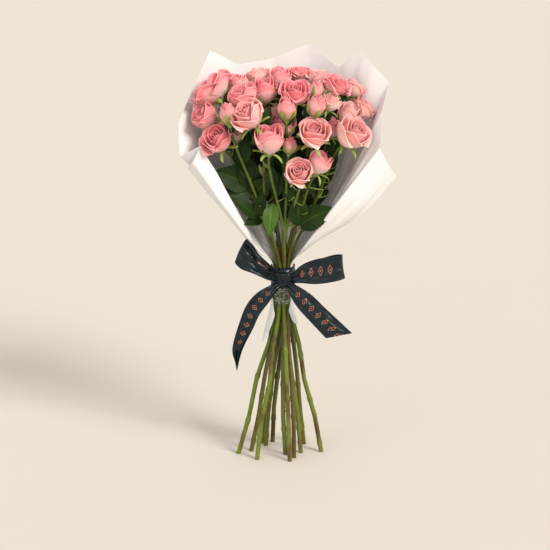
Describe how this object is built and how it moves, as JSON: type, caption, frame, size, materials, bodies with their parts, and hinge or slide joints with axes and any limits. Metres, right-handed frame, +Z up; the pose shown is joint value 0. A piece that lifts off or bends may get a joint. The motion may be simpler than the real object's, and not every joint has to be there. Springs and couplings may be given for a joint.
{
  "type": "bunch of roses",
  "caption": "Hand-tied bunch of pink spray roses on long leafy stems, wrapped in white paper with a dark satin ribbon bow, standing on its splayed cut stem ends.",
  "frame": {"origin": "middle of the bunch's box, on the surface that the cut stem ends stand on", "axes": "+Z up along the stems towards the flowers, -Y towards the open front of the wrap and the bow, +X to the right seen from the front"},
  "size_m": [0.2472, 0.1446, 0.4734],
  "materials": {
    "petals": "satin",
    "stems": "satin",
    "leaves": "satin",
    "paper": "matte",
    "ribbon": "gloss",
    "clear_tape": "gloss"
  },
  "bodies": {
    "root": {"binding_tape": "clear_tape", "leaf_01": "leaves", "leaf_02": "leaves", "leaf_03": "leaves", "leaf_04": "leaves", "leaf_05": "leaves", "leaf_06": "leaves", "paper_left": "paper", "paper_right": "paper", "ribbon_band_and_knot": "ribbon", "ribbon_loop_left": "ribbon", "ribbon_loop_right": "ribbon", "ribbon_tail_left": "ribbon", "ribbon_tail_right": "ribbon", "rose_01a": "petals", "rose_01b": "petals", "rose_01c": "petals", "rose_02a": "petals", "rose_02b": "petals", "rose_03a": "petals", "rose_03b": "petals", "rose_03c": "petals", "rose_04a": "petals", "rose_04b": "petals", "rose_04c": "petals", "rose_05a": "petals", "rose_05b": "petals", "rose_06a": "petals", "rose_07a": "petals", "rose_07b": "petals", "rose_07c": "petals", "rose_08a": "petals", "rose_08b": "petals", "rose_08c": "petals", "rose_08d": "petals", "rose_09a": "petals", "rose_09b": "petals", "rose_09c": "petals", "rose_10a": "petals", "rose_10b": "petals", "rose_10c": "petals", "rose_10d": "petals", "rose_11a": "petals", "rose_11b": "petals", "rose_11c": "petals", "rose_12a": "petals", "rose_12b": "petals", "rose_12c": "petals", "stem_01": "stems", "stem_02": "stems", "stem_03": "stems", "stem_04": "stems", "stem_05": "stems", "stem_06": "stems", "stem_07": "stems", "stem_08": "stems", "stem_09": "stems", "stem_10": "stems", "stem_11": "stems", "stem_12": "stems"}
  },
  "joints": []
}
